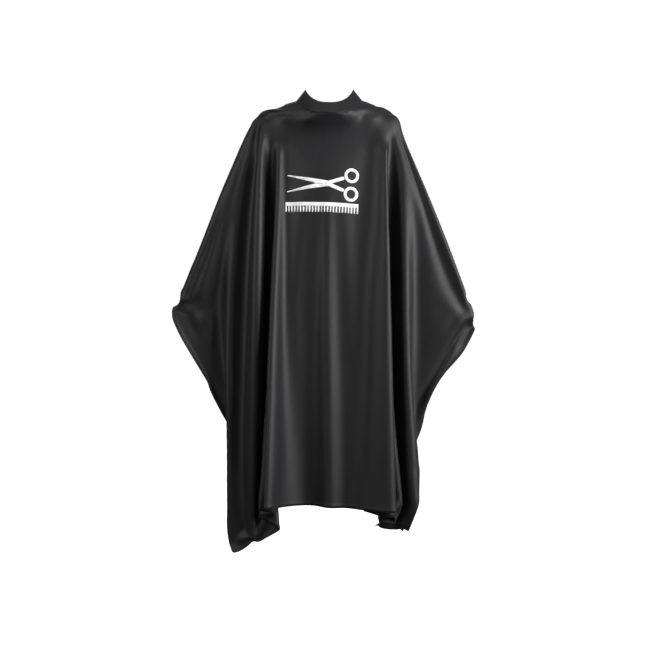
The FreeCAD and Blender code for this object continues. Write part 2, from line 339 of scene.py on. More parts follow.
def blackEnamel(name, slot):
    r = Recipe(name, slot)
    coords = r.onObject()
    wear = r.noise(coords, 700.0, 6.0, 0.7)
    r.join(r.ramp(wear, 0.62, 0.78, (0.012, 0.012, 0.014), (0.10, 0.10, 0.11)), r.shader.inputs["Base Color"])
    r.join(r.spread(wear, 0.16, 0.42), r.shader.inputs["Roughness"])
    r.relief([(r.noise(coords, 2600.0, 2.0), 0.00002)])
    r.uniform(Coat_Weight=0.6, Coat_Roughness=0.08)
    return r


def nickel(name, slot):
    r = Recipe(name, slot)
    coords = r.onObject()
    wear = r.noise(coords, 900.0, 6.0, 0.7)
    r.join(r.ramp(wear, 0.35, 0.75, (0.62, 0.60, 0.56), (0.40, 0.39, 0.37)), r.shader.inputs["Base Color"])
    r.join(r.spread(wear, 0.18, 0.45), r.shader.inputs["Roughness"])
    r.relief([(r.noise(r.scaled(coords, (1, 1, 9)), 1500.0, 2.0), 0.00002)])
    r.uniform(Metallic=1.0)
    return r


def wovenTape(name, slot):
    r = Recipe(name, slot)
    coords = r.onCloth()
    weave = weaveHeight(r, coords, 0.0006, 0.0)
    tone = r.noise(coords, 400.0, 4.0, 0.6)
    r.join(r.ramp(tone, 0.3, 0.7, (0.66, 0.65, 0.62), (0.80, 0.79, 0.76)), r.shader.inputs["Base Color"])
    r.join(r.spread(tone, 0.55, 0.75), r.shader.inputs["Roughness"])
    r.relief([(weave, 0.00008), (tone, 0.0001)])
    r.uniform(Sheen_Weight=0.2, Sheen_Roughness=0.4)
    return r


def sewingThread(name, slot):
    r = Recipe(name, slot)
    coords = r.onObject()
    twist = r.noise(coords, 5200.0, 2.0)
    r.join(r.ramp(twist, 0.35, 0.7, (0.012, 0.012, 0.014), (0.035, 0.035, 0.040)),
           r.shader.inputs["Base Color"])
    r.relief([(twist, 0.00005)])
    r.uniform(Roughness=0.5, Sheen_Weight=0.3)
    return r


def finish(piece, recipe, body=None):
    piece.data.materials.clear()
    piece.data.materials.append(recipe.mat)
    if body:
        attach(piece, body)
    return piece


# the neckband's line, shared by the band, the cape's neck edge and the snaps
bandSizes = {
    "radius": 0.072, "back": 0.062, "corner": 0.035, "lapStep": 0.005, "slitX": 0.018, "gap": 0.004,
    "height": 0.042, "frontZ": -0.030, "sideZ": 0.025, "backZ": -0.004, "crestY": 0.013,
    "sideDrop": 0.034, "frontDrop": 0.036, "flare": 0.028, "flareFromY": 0.042, "flareOver": 0.052,
    "half": 0.0012, "roll": 0.0013, "stitchIn": 0.003,
}


def halfCurve(distance, flat, back):
    corner, radius = bandSizes["corner"], bandSizes["radius"]
    flatEnd = radius - corner
    if distance <= flat:
        return flatEnd - flat + distance, back, 0.0, 1.0
    distance -= flat
    if distance <= math.pi / 2 * corner:
        turn = distance / corner
        return (flatEnd + corner * math.sin(turn), back - corner + corner * math.cos(turn),
                math.sin(turn), math.cos(turn))
    distance -= math.pi / 2 * corner
    side = back - corner
    if distance <= side:
        return radius, side - distance, 1.0, 0.0
    turn = min((distance - side) / radius, math.pi / 2)
    return radius * math.cos(turn), -radius * math.sin(turn), math.cos(turn), -math.sin(turn)


def halfLength(flat, back):
    corner, radius = bandSizes["corner"], bandSizes["radius"]
    return flat + math.pi / 2 * corner + back - corner + math.pi / 2 * radius


rootFlat = bandSizes["radius"] - bandSizes["corner"] - bandSizes["slitX"]
underFlat = rootFlat + 2 * bandSizes["slitX"] - bandSizes["gap"]
underBack = bandSizes["back"] - bandSizes["lapStep"]
rightLength = halfLength(rootFlat, bandSizes["back"])
leftLength = halfLength(underFlat, underBack)
bandLength = rightLength + leftLength


def topEdgeZ(y):
    low, high = bandSizes["frontZ"], bandSizes["sideZ"]
    if y < bandSizes["crestY"]:
        rise = max(0.0, (y + bandSizes["radius"]) / (bandSizes["crestY"] + bandSizes["radius"]))
        return low + (high - low) * math.sin(math.pi / 2 * rise) ** 1.2
    fall = min(1.0, (y - bandSizes["crestY"]) / (underBack - bandSizes["crestY"]))
    return bandSizes["backZ"] + (high - bandSizes["backZ"]) * (1 + math.cos(math.pi * fall)) / 2


def bandSection(distance):
    # top point, foot point and outward normal of the middle of the band
    if distance <= rightLength:
        x, y, outX, outY = halfCurve(distance, rootFlat, bandSizes["back"])
    else:
        x, y, outX, outY = halfCurve(bandLength - distance, underFlat, underBack)
        x, outX = -x, -outX
    lean = smoothStep((bandSizes["flareFromY"] - y) / bandSizes["flareOver"])
    front = smoothStep(-y / bandSizes["radius"])
    side = bandSizes["sideDrop"] + (bandSizes["frontDrop"] - bandSizes["sideDrop"]) * front
    drop = bandSizes["height"] + lean * (side - bandSizes["height"])
    flare = bandSizes["flare"] * lean
    top = Vector((x, y, topEdgeZ(y)))
    foot = Vector((x + outX * flare, y + outY * flare, top.z - drop))
    slope = math.atan2(flare, drop)
    normal = Vector((outX * math.cos(slope), outY * math.cos(slope), math.sin(slope)))
    return top, foot, normal


# the cape: one cut of cloth, draped by simulation
capeSizes = {
    "width": 1.50, "front": 1.28, "back": 0.28, "neckRadius": 0.092, "slitX": 0.018, "slitHalf": 0.002,
    "cell": 0.0167, "hem": 0.010, "seamIn": 0.0016, "wall": 0.0011, "tuck": 0.0015,
}
drape = {
    "lower": (6, 75), "frames": 160, "quickFrames": 24, "quickCell": 0.05, "quality": 6,
    "mass": 0.2, "air": 10.0, "tension": 30.0, "shear": 20.0, "bending": 0.3,
    "selfGap": 0.004, "skinGap": 0.003,
    "shoulders": {-1: (-0.185, 0.0, -0.105), 1: (0.17, 0.0, -0.095)},
    # where points of the flat cloth are held: flat x, flat y, hung place, reach
    "grips": [
        (-0.75, -0.497, (-0.478, 0.0, -0.668), 0.012),
        (0.75, -0.52, (0.444, 0.0, -0.703), 0.012),
        (-0.2005, -0.1095, (-0.195, -0.02, -0.062), 0.02),
        (0.193, -0.085, (0.18, -0.02, -0.05), 0.02),
        (-0.75, -0.722, (-0.368, -0.005, -0.868), 0.012),
        (-0.75, -0.946, (-0.262, -0.01, -1.06), 0.012),
        (-0.75, -1.25, (-0.30, -0.04, -1.358), 0.012),
        (0.75, -0.756, (0.305, -0.005, -0.893), 0.012),
        (0.75, -0.919, (0.265, -0.01, -1.045), 0.012),
        (0.75, -1.25, (0.236, -0.04, -1.31), 0.012),
        (-0.66, -1.25, (-0.232, -0.06, -1.338), 0.012),
        (0.65, -1.25, (0.145, -0.06, -1.30), 0.012),
    ],
    # smooth boards that close in from the front and the back: side, places of the board by frame
    "boards": [(-1, ((1, -1.5), (20, -1.35), (110, -0.177))), (1, ((1, 0.5), (20, 0.45), (110, 0.142)))],
    "boardDrop": 0.75,
}


def cutCape():
    # the flat pattern: a rectangle with the neck hole and the back slit
    s = capeSizes
    cell = s["cell"]
    across = int(round(s["width"] / cell)) // 2 * 2
    length = s["back"] + s["front"]
    bm = bmesh.new()
    bmesh.ops.create_grid(bm, x_segments=across, y_segments=int(round(length / cell)), size=0.5)
    bmesh.ops.scale(bm, vec=(s["width"], length, 1), verts=bm.verts)
    bmesh.ops.translate(bm, vec=(0, s["back"] - length / 2, 0), verts=bm.verts)
    radius = s["neckRadius"]
    hole = [f for f in bm.faces if f.calc_center_median().xy.length < radius]
    bmesh.ops.delete(bm, geom=hole, context="FACES")
    rim = {v for v in bm.verts if v.is_boundary and v.co.xy.length < radius * 1.6}
    for v in rim:
        v.co.xy = v.co.xy.normalized() * radius
    columns = sorted({round(v.co.x, 4) for v in bm.verts if v.co.y > radius * 1.3})
    slitColumn = min(columns, key=lambda x: abs(x - s["slitX"]))
    onSlit = {v for v in bm.verts if v.co.y > radius / 2
              and abs(v.co.x - slitColumn) < (cell * 0.45 if v in rim else 1e-3)}
    cut = [e for e in bm.edges if set(e.verts) <= onSlit
           and abs(e.verts[0].co.x - e.verts[1].co.x) < abs(e.verts[0].co.y - e.verts[1].co.y)]
    bmesh.ops.split_edges(bm, edges=cut)
    for v in bm.verts:
        near = abs(v.co.x - slitColumn)
        if v.co.y > radius / 2 and v.is_boundary and near < cell * 0.45:
            if near < 2e-3 or v.co.xy.length < radius * 1.01:
                side = sum(f.calc_center_median().x - v.co.x for f in v.link_faces)
                v.co.x = s["slitX"] + math.copysign(s["slitHalf"], side)
    flatMap = bm.loops.layers.uv.new("flat")
    for face in bm.faces:
        for loop in face.loops:
            loop[flatMap].uv = loop.vert.co.xy
    return addMesh("CapePanel", bm)


def stuffedBall(name, middle, reach):
    bm = bmesh.new()
    bmesh.ops.create_uvsphere(bm, u_segments=32, v_segments=20, radius=1.0)
    bmesh.ops.scale(bm, vec=reach, verts=bm.verts)
    bmesh.ops.translate(bm, vec=middle, verts=bm.verts)
    return addMesh(name, bm)


def armForm(name, length, thick, thin):
    bm = bmesh.new()
    bmesh.ops.create_uvsphere(bm, u_segments=24, v_segments=16, radius=1.0)
    for v in bm.verts:
        size = thin if v.co.z > 0 else thick
        v.co = Vector((v.co.z * size + (length if v.co.z > 0 else 0.0), v.co.x * size, v.co.y * size))
    bmesh.ops.subdivide_edges(bm, edges=[e for e in bm.edges if e.calc_length() > 0.1], cuts=12)
    return addMesh(name, bm)


def swingKeys(thing, path, move):
    first, last = drape["lower"]
    for step in range(13):
        part = step / 12
        move(thing, smoothStep(part))
        thing.keyframe_insert(path, frame=first + (last - first) * part)


def makeForms():
    # the dress form under the cape, taken away again afterwards
    forms = [stuffedBall("chestForm", (-0.010, 0.01, -0.30), (0.15, 0.08, 0.20))]
    for side in (-1, 1):
        joint = Vector(drape["shoulders"][side])
        start, end = Vector((side * 0.03 - 0.010, 0, -0.06)), joint + Vector((-side * 0.008, 0, 0.008))
        shoulder = armForm("shoulderForm", (end - start).length, 0.055, 0.042)
        shoulder.rotation_mode = "QUATERNION"
        shoulder.rotation_quaternion = (end - start).to_track_quat("X", "Z")
        shoulder.location = start
        forms.append(shoulder)
        flatX, flatY, tip, reach = [g for g in drape["grips"] if (g[0] > 0) == (side > 0)][0]
        level = (Vector((flatX, flatY, -0.05)) - joint).normalized()
        down = Vector(tip) - joint
        arm = armForm("armForm", down.length * 0.96, 0.03, 0.004)
        arm.location = joint
        arm.rotation_mode = "QUATERNION"
        turn = level.rotation_difference(down.normalized())

        def swingArm(thing, part, turn=turn, level=level):
            thing.rotation_quaternion = (Quaternion().slerp(turn, part) @ level).to_track_quat("X", "Z")

        swingKeys(arm, "rotation_quaternion", swingArm)
        forms.append(arm)
    boards = [makeBoard(side, places) for side, places in drape["boards"]]
    for form in forms + boards:
        form.modifiers.new("Collision", "COLLISION")
        form.collision.thickness_outer = drape["skinGap"]
        form.collision.cloth_friction = 0 if form in boards else 5
        form.collision.damping = 0.5
    return forms + boards


def makeBoard(side, places):
    bm = bmesh.new()
    bmesh.ops.create_grid(bm, x_segments=10, y_segments=14, size=1.0,
                          matrix=Matrix.Rotation(side * math.pi / 2, 4, "X"))
    bmesh.ops.translate(bm, vec=(0, 0, -drape["boardDrop"]), verts=bm.verts)
    board = addMesh("board", bm)
    for number, y in places:
        board.location = (0, y, 0)
        board.keyframe_insert("location", frame=number)
    for curve in board.animation_data.action.fcurves:
        for key in curve.keyframe_points:
            key.interpolation = "LINEAR"
    return board


def makeGrips():
    grips = []
    for flatX, flatY, place, reach in drape["grips"]:
        joint = Vector(drape["shoulders"][1 if flatX > 0 else -1])
        source = Vector((flatX, flatY, 0.0))
        before, after = source - joint, Vector(place) - joint
        turn = before.normalized().rotation_difference(after.normalized())
        grip = addObject("grip", None)

        def swingGrip(thing, part, joint=joint, before=before, after=after, turn=turn):
            length = before.length * (1 - part) + after.length * part
            thing.location = joint + Quaternion().slerp(turn, part) @ before.normalized() * length

        swingKeys(grip, "location", swingGrip)
        grips.append((grip, source, reach))
    return grips


def neckPlace(x, y, onRim):
    # where a point near the neck hole starts: its angle from the slit picks the band's section
    radius, slitX = capeSizes["neckRadius"], capeSizes["slitX"]
    angle = (math.atan2(x, y) - math.atan2(slitX, radius)) % (2 * math.pi)
    if onRim and y > 0 and abs(x - slitX) < 0.0035:
        angle = 0.0 if x > slitX else 2 * math.pi
    top, foot, normal = bandSection(angle / (2 * math.pi) * bandLength)
    along = (foot - top).normalized()
    return foot - along * capeSizes["tuck"]


def hangCape(cape):
    mesh = cape.data
    count = len(mesh.vertices)
    flat = np.zeros(count * 3)
    mesh.vertices.foreach_get("co", flat)
    flat = flat.reshape(-1, 3)
    radius = capeSizes["neckRadius"]
    reach = np.hypot(flat[:, 0], flat[:, 1])
    onRim = reach < radius * 1.012
    start = flat.copy()
    for i in np.flatnonzero(reach < radius + 0.35):
        x, y = float(flat[i, 0]), float(flat[i, 1])
        edge = Vector((x, y, 0)).normalized() * radius
        start[i] += np.array(neckPlace(x, y, bool(onRim[i])) - edge) * math.exp(-(reach[i] - radius) / 0.07)
    flatKey = cape.shape_key_add(name="flat")
    startKey = cape.shape_key_add(name="start")
    startKey.data.foreach_set("co", start.ravel())
    startKey.value = 1.0
    pinned = cape.vertex_groups.new(name="pinned")
    pinned.add([int(i) for i in np.flatnonzero(onRim)], 1.0, "REPLACE")
    grips = makeGrips()
    for number, (grip, source, size) in enumerate(grips):
        held = np.flatnonzero(np.hypot(flat[:, 0] - source.x, flat[:, 1] - source.y) < size)
        held = [int(i) for i in held]
        group = cape.vertex_groups.new(name=f"grip{number}")
        group.add(held, 1.0, "REPLACE")
        pinned.add(held, 1.0, "REPLACE")
        hook = cape.modifiers.new(f"hook{number}", "HOOK")
        hook.object = grip
        hook.vertex_group = group.name
        hook.matrix_inverse = Matrix.Translation(-source)
    forms = makeForms()
    cloth = cape.modifiers.new("Cloth", "CLOTH")
    settings, touching = cloth.settings, cloth.collision_settings
    settings.quality = drape["quality"]
    settings.mass = drape["mass"]
    settings.air_damping = drape["air"]
    settings.tension_stiffness = settings.compression_stiffness = drape["tension"]
    settings.shear_stiffness = drape["shear"]
    settings.bending_stiffness = drape["bending"]
    settings.tension_damping = settings.compression_damping = settings.shear_damping = 5
    settings.bending_damping = 0.5
    settings.vertex_group_mass = "pinned"
    settings.rest_shape_key = flatKey
    touching.use_collision = True
    touching.collision_quality = 2
    touching.distance_min = drape["skinGap"]
    touching.use_self_collision = True
    touching.self_distance_min = drape["selfGap"]
    frames = drape["frames"]
    scene.frame_start, scene.frame_end = 1, frames
    cloth.point_cache.frame_start, cloth.point_cache.frame_end = 1, frames
    for number in range(1, frames + 1):
        scene.frame_set(number)
    hung = freshMesh(cape)
    scene.frame_set(1)
    for helper in forms + [grip for grip, source, size in grips]:
        bpy.data.objects.remove(helper)
    cape.modifiers.clear()
    cape.shape_key_clear()
    cape.vertex_groups.clear()
    cape.data = hung
    print("cape hung:", len(hung.vertices), "points")
    return cape


def flatPoints(mesh):
    # flat place of every vertex, from the cloth's own map
    corner = np.zeros(len(mesh.loops), dtype=np.int64)
    mesh.loops.foreach_get("vertex_index", corner)
    uv = np.zeros(len(mesh.loops) * 2)
    mesh.uv_layers["flat"].data.foreach_get("uv", uv)
    flat = np.zeros((len(mesh.vertices), 2))
    flat[corner] = uv.reshape(-1, 2)
    return flat


def edgeDistance(x, y):
    s = capeSizes
    edge = min(s["width"] / 2 - abs(x), y + s["front"], s["back"] - y)
    if y > 0:
        edge = min(edge, max(0.0, abs(x - s["slitX"]) - s["slitHalf"]))
    return edge


def sewHem(cape):
    # the hem's inner line is cut into the flat shape, and its folded cloth is thicker
    s = capeSizes
    bm = bmesh.new()
    bm.from_mesh(cape.data)
    hungAt = bm.verts.layers.float_vector.new("hungAt")
    flatMap = bm.loops.layers.uv["flat"]
    for v in bm.verts:
        v[hungAt] = v.co
        v.co = (*v.link_loops[0][flatMap].uv, 0.0)
    inner = s["width"] / 2 - s["hem"]
    lines = [((side * (inner - step), 0, 0), (1, 0, 0)) for side in (-1, 1) for step in (0.0, 0.0012)]
    lines += [((0, s["hem"] - s["front"] + step, 0), (0, 1, 0)) for step in (0.0, 0.0012)]
    lines += [((0, s["back"] - s["hem"] - step, 0), (0, 1, 0)) for step in (0.0, 0.0012)]
    for place, facing in lines:
        bmesh.ops.bisect_plane(bm, geom=bm.verts[:] + bm.edges[:] + bm.faces[:], dist=1e-5,
                               plane_co=place, plane_no=facing)
    weights = []
    for v in bm.verts:
        weights.append(1.0 if edgeDistance(v.co.x, v.co.y) < s["hem"] + 1e-4 else 0.0)
        v.co = v[hungAt]
    bm.verts.layers.float_vector.remove(hungAt)
    bm.to_mesh(cape.data)
    bm.free()
    group = cape.vertex_groups.new(name="hem")
    group.add([i for i, w in enumerate(weights) if w], 1.0, "REPLACE")
    for face in cape.data.polygons:
        face.use_smooth = True
    return cape


pressing = {
    "strength": 0.5, "passes": 14, "tipReach": 0.045, "tipUp": 0.05,
    "throatReach": 0.055, "throatY": -0.155, "throatX": (-0.16, -0.08, 0.0, 0.08, 0.16),
}


def pressCape(cape):
    # creases left at the arm tips and across the throat are pressed out
    bm = bmesh.new()
    bm.from_mesh(cape.data)
    flatMap = bm.loops.layers.uv["flat"]
    spots = [(Vector(grip[:2]) + Vector((0, pressing["tipUp"])), pressing["tipReach"])
             for grip in drape["grips"][:2]]
    spots += [(Vector((x, pressing["throatY"])), pressing["throatReach"]) for x in pressing["throatX"]]
    inside = [v for v in bm.verts if not v.is_boundary]
    pressed = [v for v in inside
               if any((v.link_loops[0][flatMap].uv - spot).length < reach for spot, reach in spots)]
    for _ in range(pressing["passes"]):
        bmesh.ops.smooth_vert(bm, verts=pressed, factor=pressing["strength"],
                              use_axis_x=True, use_axis_y=True, use_axis_z=True)
    bm.to_mesh(cape.data)
    bm.free()


cape = cutCape()
hangCape(cape)
pressCape(cape)
roundOff(cape)
applyAll(cape)


class ClothMap:
    # finds where a point of the flat cloth hangs, and which way the cloth faces there

    def __init__(self, mesh):
        flat = flatPoints(mesh)
        self.flat = [Vector((x, y, 0)) for x, y in flat]
        self.hung = [v.co.copy() for v in mesh.vertices]
        self.facing = [v.normal.copy() for v in mesh.vertices]
        mesh.calc_loop_triangles()
        self.tris = [tuple(t.vertices) for t in mesh.loop_triangles]
        self.tree = BVHTree.FromPolygons(self.flat, self.tris)

    def at(self, x, y):
        spot, _, index, _ = self.tree.find_nearest((x, y, 0))
        corners = self.tris[index]
        share = poly_3d_calc([self.flat[c] for c in corners], spot)
        place, facing = Vector(), Vector()
        for corner, part in zip(corners, share):
            place += self.hung[corner] * part
            facing += self.facing[corner] * part
        return place, facing.normalized()


clothMap = ClothMap(cape.data)
sewHem(cape)
hemWall = giveWall(cape, capeSizes["wall"], 0.0).modifiers["wall"]
hemWall.vertex_group = "hem"
hemWall.thickness_vertex_group = 0.5
finish(cape, blackSatin("capeSatin", "cape_cloth", hemmed=True), "root")
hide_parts("cape_panel")


# threads
threadSizes = {"length": 0.0030, "thick": 0.00036, "pitch": 0.0042}


def sewRow(bm, spots, pitch, lift):
    # one row of stitches along a line of (place, facing), each thread a small bead
    for number in range(1, len(spots) - 1):
        place, facing = spots[number]
        ahead = spots[number + 1][0] - spots[number - 1][0]
        if ahead.length < 1e-5:
            continue
        along = ahead.normalized()
        side = facing.cross(along).normalized()
        turn = Matrix((along, side, facing)).transposed().to_4x4()
        thick = threadSizes["thick"] / 2
        size = Matrix.Diagonal((threadSizes["length"] / 2, thick, thick, 1))
        bmesh.ops.create_icosphere(bm, subdivisions=1, radius=1.0,
                                   matrix=Matrix.Translation(place + facing * lift) @ turn @ size)


def sewHemStitches():
    s = capeSizes
    inset = s["hem"] - s["seamIn"]
    left, right = -s["width"] / 2 + inset, s["width"] / 2 - inset
    low, high = -s["front"] + inset, s["back"] - inset
    slitLeft, slitRight = s["slitX"] - s["slitHalf"] - 0.005, s["slitX"] + s["slitHalf"] + 0.005
    rim = s["neckRadius"] + 0.002
    rows = [((left, low), (right, low)), ((left, low), (left, high)), ((right, low), (right, high)),
            ((left, high), (slitLeft, high)), ((slitRight, high), (right, high)),
            ((slitLeft, rim), (slitLeft, high)), ((slitRight, rim), (slitRight, high))]
    bm = bmesh.new()
    for first, last in rows:
        first, last = Vector(first), Vector(last)
        count = max(3, int((last - first).length / threadSizes["pitch"]))
        spots = [clothMap.at(*first.lerp(last, step / count)) for step in range(count + 1)]
        sewRow(bm, spots, threadSizes["pitch"], s["wall"] * 0.5)
    return addMesh("HemStitches", bm)


thread = sewingThread("blackThread", "cape_cloth")
hemStitches = finish(sewHemStitches(), thread, "root")
print("hem sewn:", len(hemStitches.data.polygons), "thread faces")


# chest print: open scissors over a comb, in white ink
printSizes = {
    "middleX": 0.002, "middleZ": -0.272, "scale": 1.12, "ink": 0.00025, "lift": 0.0004, "cell": 0.006,
    "pivot": (0.002, 0.0), "bladeTip": (-0.108, 0.022), "bladeWidths": (0.015, 0.0025),
    "handleEnd": (0.046, 0.017), "handleWidths": (0.010, 0.009),
    "ringMiddle": (0.066, 0.025), "ringOuter": 0.020, "ringInner": 0.012,
    "combLeft": -0.112, "combRight": 0.088, "combTop": -0.050, "combSpine": 0.010, "toothDown": 0.016,
    "teeth": 25,
}


def inkStrip(start, end, startWidth, endWidth, lift):
    start, end = Vector(start), Vector(end)
    run = end - start
    side = Vector((-run.y, run.x)).normalized()
    bm = bmesh.new()
    corners = [start - side * startWidth / 2, end - side * endWidth / 2,
               end + side * endWidth / 2, start + side * startWidth / 2]
    face = bm.faces.new([bm.verts.new((c.x, c.y, lift)) for c in corners])
    bmesh.ops.bevel(bm, geom=face.verts[:], offset=min(startWidth, endWidth) * 0.3, offset_type="OFFSET",
                    segments=3, profile=0.5, affect="VERTICES", material=-1)
    return bm


def inkRing(middle, outer, inner, lift):
    bm = bmesh.new()
    place = Matrix.Translation((middle[0], middle[1], lift))
    edges = []
    for radius in (outer, inner):
        made = bmesh.ops.create_circle(bm, segments=48, radius=radius, matrix=place)
        edges += list({e for v in made["verts"] for e in v.link_edges})
    bmesh.ops.bridge_loops(bm, edges=edges)
    return bm


def inkComb():
    s = printSizes
    cells = s["teeth"] * 2 - 1
    length = s["combRight"] - s["combLeft"]
    bm = bmesh.new()
    bmesh.ops.create_grid(bm, x_segments=cells, y_segments=1, size=0.5)
    bmesh.ops.scale(bm, vec=(length, s["combSpine"], 1), verts=bm.verts)
    middle = ((s["combLeft"] + s["combRight"]) / 2, s["combTop"] - s["combSpine"] / 2, s["lift"])
    bmesh.ops.translate(bm, vec=middle, verts=bm.verts)
    low = s["combTop"] - s["combSpine"]
    lower = [e for e in bm.edges if all(abs(v.co.y - low) < 1e-6 for v in e.verts)]
    lower.sort(key=lambda e: e.verts[0].co.x + e.verts[1].co.x)
    for edge in lower[::2]:
        made = bmesh.ops.extrude_edge_only(bm, edges=[edge])
        tips = [g for g in made["geom"] if isinstance(g, bmesh.types.BMVert)]
        bmesh.ops.translate(bm, vec=(0, -s["toothDown"], 0), verts=tips)
    return bm


def printedMarks():
    s = printSizes
    marks = [inkComb()]
    for side, lift in ((-1, s["lift"]), (1, s["lift"] + 0.0001)):
        marks.append(inkStrip(s["pivot"], (s["bladeTip"][0], side * s["bladeTip"][1]),
                              *s["bladeWidths"], lift))
        marks.append(inkStrip((-0.004, side * 0.001), (s["handleEnd"][0], -side * s["handleEnd"][1]),
                              *s["handleWidths"], lift + 0.00005))
        marks.append(inkRing((s["ringMiddle"][0], -side * s["ringMiddle"][1]), s["ringOuter"], s["ringInner"],
                             lift + 0.0002))
    return marks


def flatYAt(x, z):
    # down the front of the flat cloth until it hangs at height z
    high, low = -0.12, -0.60
    for _ in range(24):
        middle = (high + low) / 2
        if clothMap.at(x, middle)[0].z > z:
            high = middle
        else:
            low = middle
    return (high + low) / 2


def makePrint():
    s = printSizes
    anchorY = flatYAt(s["middleX"], s["middleZ"])
    joined = bmesh.new()
    for mark in printedMarks():
        bmesh.ops.recalc_face_normals(mark, faces=mark.faces)
        piece = bpy.data.meshes.new("mark")
        mark.to_mesh(piece)
        mark.free()
        joined.from_mesh(piece)
        bpy.data.meshes.remove(piece)
    for axis in (0, 1):
        spots = [v.co[axis] for v in joined.verts]
        steps = int((max(spots) - min(spots)) / s["cell"])
        for number in range(1, steps + 1):
            place = Vector((0, 0, 0))
            place[axis] = min(spots) + number * s["cell"]
            facing = Vector((0, 0, 0))
            facing[axis] = 1
            bmesh.ops.bisect_plane(joined, geom=joined.verts[:] + joined.edges[:] + joined.faces[:],
                                   dist=1e-6, plane_co=place, plane_no=facing)
    for face in joined.faces:
        if face.normal.z < 0:
            face.normal_flip()
    flatMap = joined.loops.layers.uv.new("flat")
    for face in joined.faces:
        for loop in face.loops:
            loop[flatMap].uv = loop.vert.co.xy
    for v in joined.verts:
        place, facing = clothMap.at(s["middleX"] + v.co.x * s["scale"], anchorY + v.co.y * s["scale"])
        v.co = place + facing * v.co.z
    return giveWall(addMesh("ChestPrint", joined), s["ink"], 1.0)


chestPrint = finish(makePrint(), whiteInk("whiteInk", "print_ink"), "root")
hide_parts("chest_print")
print("print laid:", len(chestPrint.data.polygons), "faces")


# sewn two-faced pieces: band and tab
# distances from an edge inwards, across the stitch line
rulings = [0.0, 0.0003, 0.0008, 0.0015, 0.0023, 0.0030, 0.0037, 0.0048]


def ruled(length, gap, nearStart=True, nearEnd=True):
    # positions from 0 to length, close together near the stitched edges
    start = rulings if nearStart else [0.0]
    end = [length - r for r in reversed(rulings)] if nearEnd else [length]
    room = end[0] - start[-1]
    count = max(1, int(round(room / gap)))
    middle = [start[-1] + room * step / count for step in range(1, count)]
    return start + middle + end


def rise(edge):
    # how far a face stands off the middle layer, by its distance from the nearest edge
    roll = min(1.0, max(0.0, edge) / bandSizes["roll"])
    dip = 0.0003 * math.exp(-((edge - bandSizes["stitchIn"]) / 0.0006) ** 2)
    return bandSizes["half"] * (0.12 + 0.88 * math.sqrt(1 - (1 - roll) ** 2)) - dip


def sewnFace(name, alongs, acrosses, spot, side, puff):
    # spot(along, across) gives place, normal and edge distance, and side is 1 outside and -1 inside
    bm = bmesh.new()
    bmesh.ops.create_grid(bm, x_segments=len(alongs) - 1, y_segments=len(acrosses) - 1, size=0.5)
    flatMap = bm.loops.layers.uv.new("flat")
    ruledAt = {}
    for v in bm.verts:
        along = alongs[round((v.co.x + 0.5) * (len(alongs) - 1))]
        across = acrosses[round((v.co.y + 0.5) * (len(acrosses) - 1))]
        ruledAt[v] = (along, across)
    for face in bm.faces:
        for loop in face.loops:
            loop[flatMap].uv = ruledAt[loop.vert]
    for v, (along, across) in ruledAt.items():
        place, normal, edge = spot(along, across)
        v.co = place + normal * side * (rise(edge) + puff * smoothStep((edge - 0.004) / 0.008))
    bm.faces.ensure_lookup_table()
    middle = bm.faces[len(bm.faces) // 2]
    bm.normal_update()
    ahead = spot(*ruledAt[middle.verts[0]])[1] * side
    if middle.normal.dot(ahead) < 0:
        bmesh.ops.reverse_faces(bm, faces=bm.faces)
    return roundOff(giveWall(addMesh(name, bm), 0.00035, -1.0))


def bandSpot(along, across):
    # across runs from the top edge (0) to the foot (1 at any height), in shares of the height
    top, foot, normal = bandSection(along)
    height = (foot - top).length
    down = across if across < bandMiddle else height - (bandHeight - across)
    edge = min(down, height - down, along, bandLength - along)
    return top + (foot - top).normalized() * down, normal, edge


bandHeight = bandSizes["height"]
bandMiddle = bandHeight / 2
bandAlongs = ruled(bandLength, 0.0045, nearStart=False)
bandAcrosses = ruled(bandHeight, 0.0052)
bandOuter = sewnFace("NeckbandOuter", bandAlongs, bandAcrosses, bandSpot, 1, 0.00005)
bandInner = sewnFace("NeckbandInner", bandAlongs, bandAcrosses, bandSpot, -1, 0.00002)
finish(bandOuter, blackSatin("bandSatin", "band_cloth"), "root")
finish(bandInner, knitLining("bandLining", "band_lining"), "root")
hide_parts("neckband_outer", "neckband_interlining")
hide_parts("neckband_inner")


def bandRow(inset, fromFoot, side):
    spots = []
    count = int(bandLength / 0.0030)
    for step in range(count + 1):
        along = bandLength * step / count
        top, foot, normal = bandSection(along)
        height = (foot - top).length
        down = height - inset if fromFoot else inset
        place = top + (foot - top).normalized() * down + normal * side * (rise(inset) + 0.00006)
        spots.append((place, normal * side))
    return spots


bm = bmesh.new()
for side in (-1, 1):
    for fromFoot in (False, True):
        sewRow(bm, bandRow(bandSizes["stitchIn"], fromFoot, side), 0.003, 0.0)
finish(addMesh("NeckbandStitches", bm), thread, "root")
print("neckband sewn")


# closure tab: carries on from the band's end, its root tucked into the band
tabSizes = {
    "tuck": 0.006, "length": 0.058, "height": 0.034, "corner": 0.009, "middleZ": -0.025,
    "bendFrom": 0.018, "bendTo": 0.009,
}


def tabSpot(along, across):
    s = tabSizes
    toEnd = s["length"] + s["tuck"] - along
    half = s["height"] / 2
    if toEnd < s["corner"]:
        half -= s["corner"] - math.sqrt(max(0.0, s["corner"] ** 2 - (s["corner"] - toEnd) ** 2))
    share = (across - s["height"] / 2) / (s["height"] / 2)
    x = bandSizes["slitX"] + s["tuck"] - along
    inBand = smoothStep((x - bandSizes["slitX"]) / s["tuck"])
    place = Vector((x, bandSizes["back"], s["middleZ"] + share * half))
    edge = min(half - abs(share) * half, toEnd)
    return place, Vector((0, 1 - 0.55 * inBand, 0)), edge


